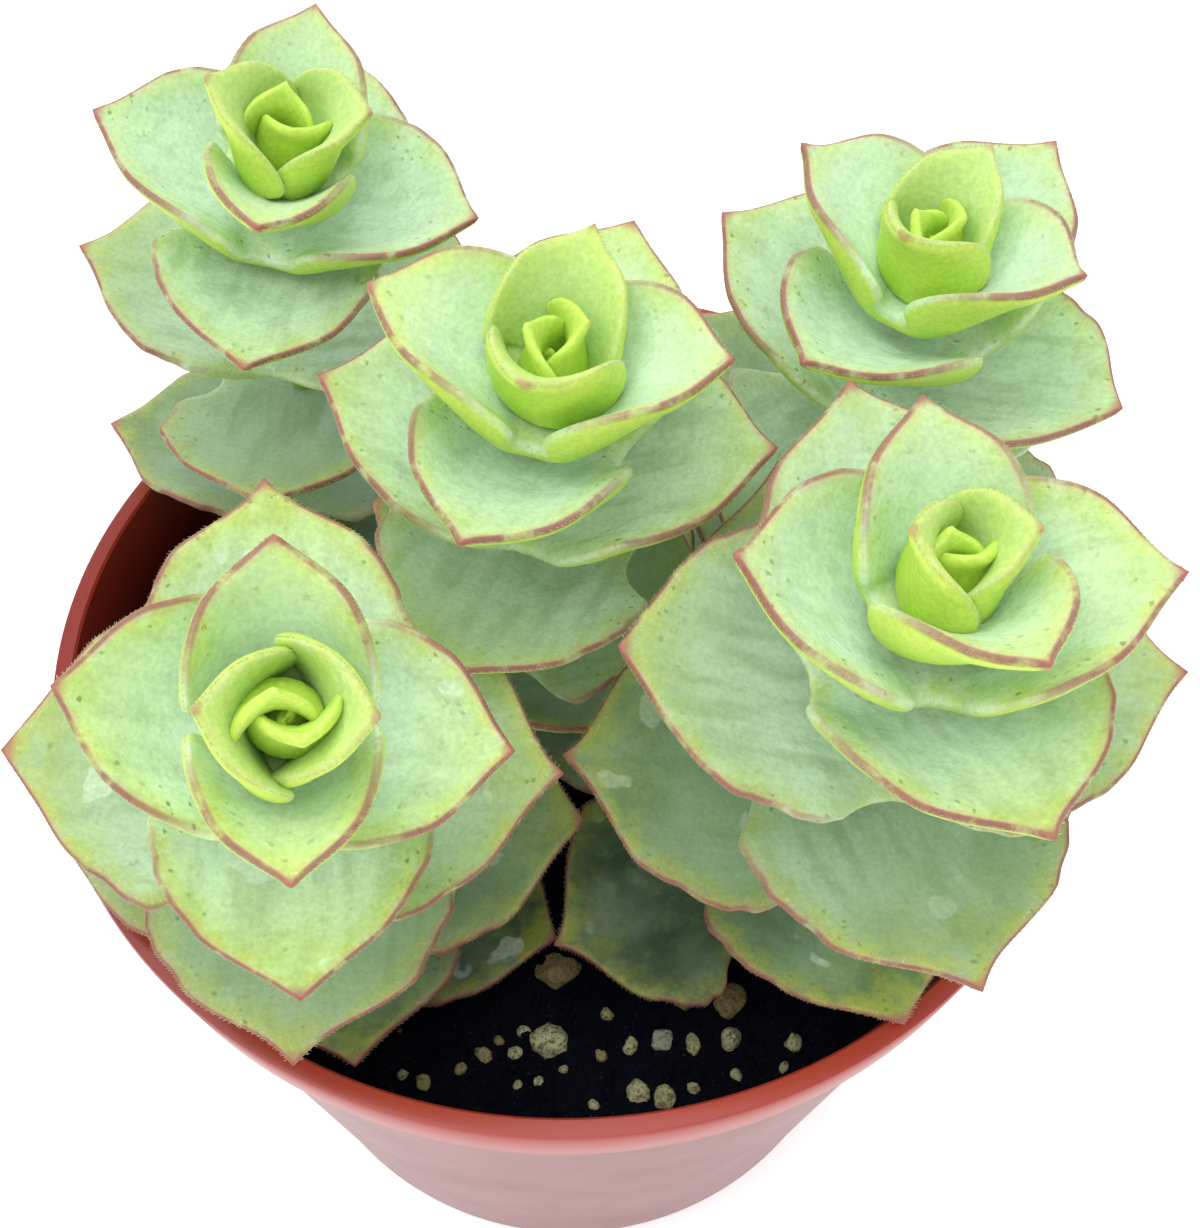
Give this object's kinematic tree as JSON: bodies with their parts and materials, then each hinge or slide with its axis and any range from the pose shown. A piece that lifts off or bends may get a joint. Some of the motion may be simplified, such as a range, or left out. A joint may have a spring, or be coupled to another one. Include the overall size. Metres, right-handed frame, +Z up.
{
  "type": "potted string of buttons succulent",
  "caption": "Potted string of buttons: upright stems of fused, cross-set fleshy leaf pairs in a round tapered plastic pot with dark peat and pumice.",
  "frame": {"origin": "centre of the underside of the pot, on the surface it stands on", "axes": "+Z up along the axis of the pot; -Y towards the side the picture was taken from; +X to the right in the picture"},
  "size_m": [0.09, 0.0907, 0.1175],
  "materials": {
    "red_plastic": "smooth moulded red plastic with a soft sheen",
    "peat": "dark damp peat with pale pumice grit; matte_plastic stands in for soil",
    "leaf": "waxy pale green leaves with red margins; matte_plastic stands in for plant tissue"
  },
  "bodies": {
    "root": {"pot": "red_plastic", "soil": "peat", "leafy_stem_front_left": "leaf", "leafy_stem_front_right": "leaf", "leafy_stem_middle": "leaf", "leafy_stem_back_right": "leaf", "leafy_stem_back_left": "leaf"}
  },
  "joints": []
}
